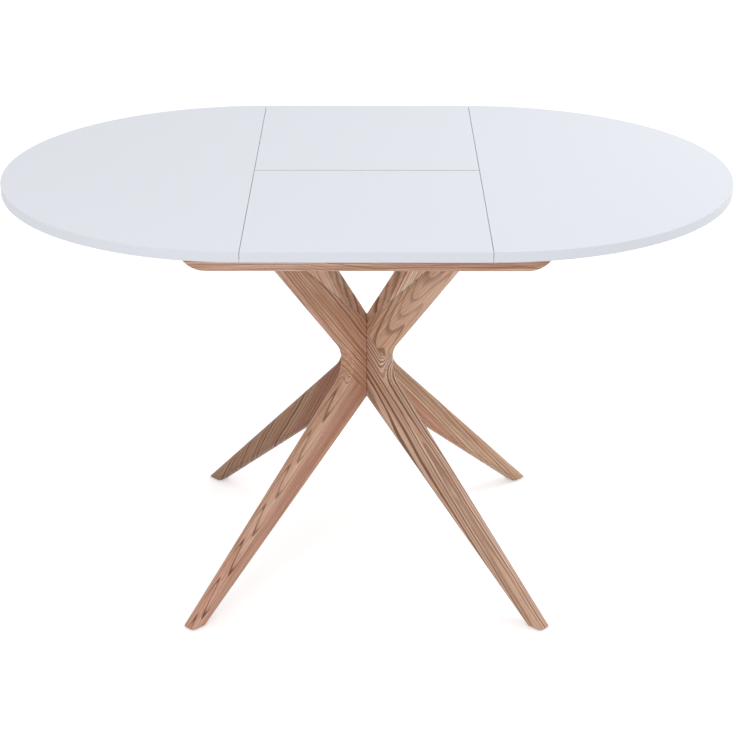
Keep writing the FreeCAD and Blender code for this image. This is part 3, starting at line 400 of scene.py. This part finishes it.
def plastic(name, colour, roughness):
    """Moulded plastic with a fine grain."""
    n = Nodes(name)
    place = n.add("ShaderNodeTexCoord").outputs["Object"]
    grain = n.noise(place, 900.0, 2.0)
    cloud = n.noise(place, 40.0, 2.0)
    darker = srgb(*(v * PLASTIC_BLOTCH for v in colour))
    n.set(Base_Color=n.mix(cloud, srgb(*colour), darker),
          Roughness=n.remap(grain, 0.3, 0.7, roughness - 0.05, roughness + 0.05))
    n.bump(grain, 0.00005, 0.3)
    return n.material


def dress_top_and_fittings():
    """Lacquer for the four boards of the top, and the rest by the slot that the record gives."""
    dress(lacquer(), "left_half_top", "right_half_top", "front_leaf", "rear_leaf")
    made = {
        "hidden_wood": plain_wood("bare_beech", (205, 172, 136), (176, 138, 102)),
        "dowel_wood": plain_wood("dowel_beech", (214, 182, 145), (188, 150, 112)),
        "zinc_steel": metal("zinc_steel", (196, 198, 202), 0.34),
        "fasteners": metal("zinc_fasteners", (206, 202, 190), 0.30, BRUSHED_ALONG_Z),
        "brass": metal("plain_brass", (206, 170, 104), 0.30, BRUSHED_ALONG_Y),
        "nylon": plastic("nylon", (214, 208, 196), 0.5),
        "gear_plastic": plastic("acetal", (232, 230, 222), 0.4),
    }
    for part in frame["record"]["subparts"]:
        if part["material_slot"] in made:
            dress(made[part["material_slot"]], part["node"])


# ---------------------------------------------------------------- room and light
FLOOR_SIDE = 40.0
FLOOR_DEEP = (240, 240, 240)
FLOOR_PALE = (243, 243, 243)
FLOOR_LIFT = 0.41                      # added to what the camera and reflections see of the floor
WORLD_STRENGTH = 0.775
KEY_LIGHT = dict(place=(2.0, 0.5, 2.3), target=(0.4, 0, 0.6), side=1.4, power=16)
FRONT_LIGHT = dict(place=(-0.8, -2.6, 2.2), target=(0, 0, 0.5), side=1.0, power=12.5)


def seen_directly(nodes, links):
    """1 for rays from the camera, from glossy surfaces and through clear ones, else 0."""
    path = nodes.new("ShaderNodeLightPath")
    value = path.outputs["Is Camera Ray"]
    for name in ("Is Glossy Ray", "Is Transmission Ray"):
        either = nodes.new("ShaderNodeMath")
        either.operation = "MAXIMUM"
        links.new(value, either.inputs[0])
        links.new(path.outputs[name], either.inputs[1])
        value = either.outputs[0]
    return value


def make_floor():
    """Pale floor that the camera and reflections see as white, with the table's shadow."""
    mesh = bpy.data.meshes.new("floor")
    half = FLOOR_SIDE / 2
    corners = [(-half, -half, 0), (half, -half, 0), (half, half, 0), (-half, half, 0)]
    mesh.from_pydata(corners, [], [(0, 1, 2, 3)])
    floor = bpy.data.objects.new("floor", mesh)
    bpy.context.scene.collection.objects.link(floor)
    n = Nodes("floor_paint")
    place = n.add("ShaderNodeTexCoord").outputs["Object"]
    cloud = n.noise(place, 2.0, 2.0)
    lift = n.math("MULTIPLY", seen_directly(n.tree.nodes, n.tree.links), FLOOR_LIFT)
    n.set(Base_Color=n.mix(cloud, srgb(*FLOOR_DEEP), srgb(*FLOOR_PALE)), Roughness=0.9,
          Specular_IOR_Level=0.0, Emission_Color=WHITE, Emission_Strength=lift)
    mesh.materials.append(n.material)


def make_world():
    """Even studio light; what the camera and reflections see of it is white."""
    world = bpy.data.worlds.new("studio")
    bpy.context.scene.world = world
    world.use_nodes = True
    nodes = world.node_tree.nodes
    links = world.node_tree.links
    background = nodes["Background"]
    background.inputs["Color"].default_value = WHITE
    strength = nodes.new("ShaderNodeMapRange")
    strength.inputs["To Min"].default_value = WORLD_STRENGTH
    strength.inputs["To Max"].default_value = 1.0
    links.new(seen_directly(nodes, links), strength.inputs["Value"])
    links.new(strength.outputs[0], background.inputs["Strength"])


def area_light(name, place, target, side, power):
    """Square lamp at place that faces target."""
    data = bpy.data.lights.new(name, "AREA")
    data.shape = "SQUARE"
    data.size = side
    data.energy = power
    lamp = bpy.data.objects.new(name, data)
    lamp.location = place
    lamp.rotation_euler = (Vector(target) - Vector(place)).to_track_quat("-Z", "Y").to_euler()
    bpy.context.scene.collection.objects.link(lamp)


make_camera()
dress_legs()
dress_rails()
dress_top_and_fittings()
make_floor()
make_world()
area_light("key_light", **KEY_LIGHT)
area_light("front_light", **FRONT_LIGHT)
bpy.context.scene.view_settings.view_transform = "Standard"
